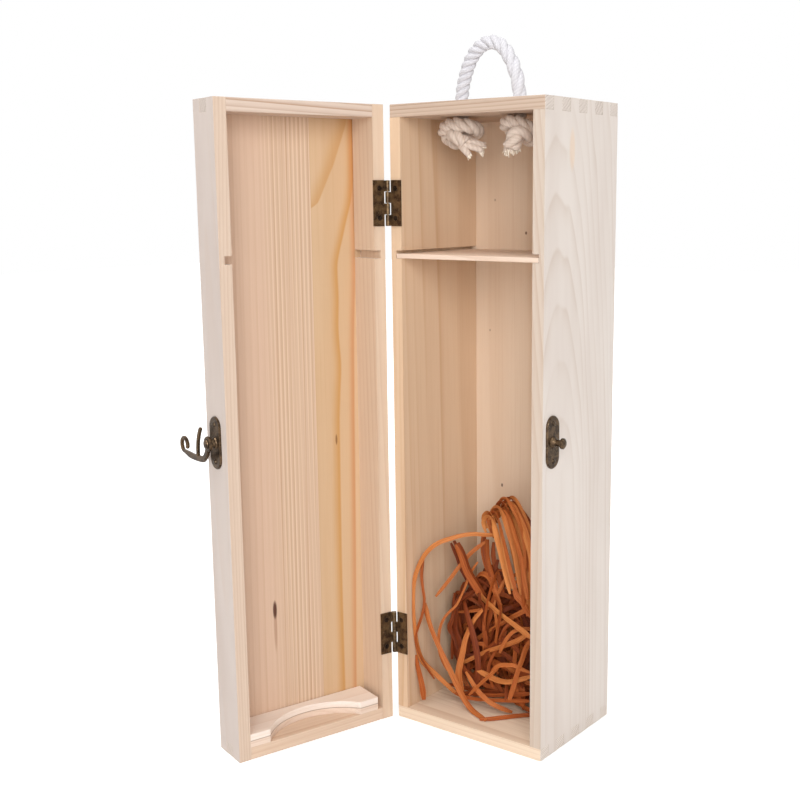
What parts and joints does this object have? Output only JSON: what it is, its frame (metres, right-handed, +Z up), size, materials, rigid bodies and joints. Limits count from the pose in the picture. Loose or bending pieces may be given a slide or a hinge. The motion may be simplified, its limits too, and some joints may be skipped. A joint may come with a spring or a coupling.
{
  "type": "wooden wine box",
  "caption": "Upright pine box for one wine bottle, with a hinged lid standing open, hook latch, rope handle, sliding divider, bottle cradle and raffia packing.",
  "frame": {"origin": "centre of the case's bottom face, which stands on the table", "axes": "+X towards the latch side of the case, -Y out of the case's open front, +Z up"},
  "size_m": [0.1885, 0.1749, 0.3899],
  "materials": {
    "pine": "unfinished sanded softwood",
    "antique_bronze": "antique bronze plating, satin",
    "dark_steel": "dark bronzed steel",
    "cotton_rope": "white twisted cotton",
    "raffia": "dry fibre ribbons"
  },
  "bodies": {
    "case": {"case_hinge_side": "pine", "case_latch_side": "pine", "case_top": "pine", "case_bottom": "pine", "case_back": "pine", "catch_plate": "antique_bronze", "catch_stud": "antique_bronze", "catch_plate_screws": "dark_steel", "upper_hinge_case_leaf": "antique_bronze", "lower_hinge_case_leaf": "antique_bronze", "upper_hinge_pin": "dark_steel", "lower_hinge_pin": "dark_steel", "case_hinge_screws": "dark_steel", "rope_handle": "cotton_rope", "rope_knot_hinge_side": "cotton_rope", "rope_knot_latch_side": "cotton_rope", "raffia_packing": "raffia"},
    "lid": {"lid_hinge_side": "pine", "lid_latch_side": "pine", "lid_top": "pine", "lid_bottom": "pine", "lid_panel": "pine", "cradle_lower": "pine", "cradle_upper": "pine", "upper_hinge_lid_leaf": "antique_bronze", "lower_hinge_lid_leaf": "antique_bronze", "lid_hinge_screws": "dark_steel", "hook_plate": "antique_bronze", "hook_rivet": "antique_bronze", "hook_plate_screws": "dark_steel"},
    "hook": {"hook": "antique_bronze"},
    "divider": {"divider_plate": "pine"}
  },
  "joints": [
    {"name": "lid_hinge", "type": "hinge", "parent": "case", "child": "lid", "pos_m": [-0.0515, -0.03807, 0.1775], "axis": [0, 0, 1], "range_deg": [-72.5, 107.5]},
    {"name": "hook_swing", "type": "hinge", "parent": "lid", "child": "hook", "pos_m": [-0.09485, -0.13083, 0.1775], "axis": [0.3007, 0.9537, 0], "range_deg": [-90, 195.36]},
    {"name": "divider_slide", "type": "slide", "parent": "case", "child": "divider", "axis": [0, 1, 0], "range_m": [-0.0215, 0]}
  ]
}
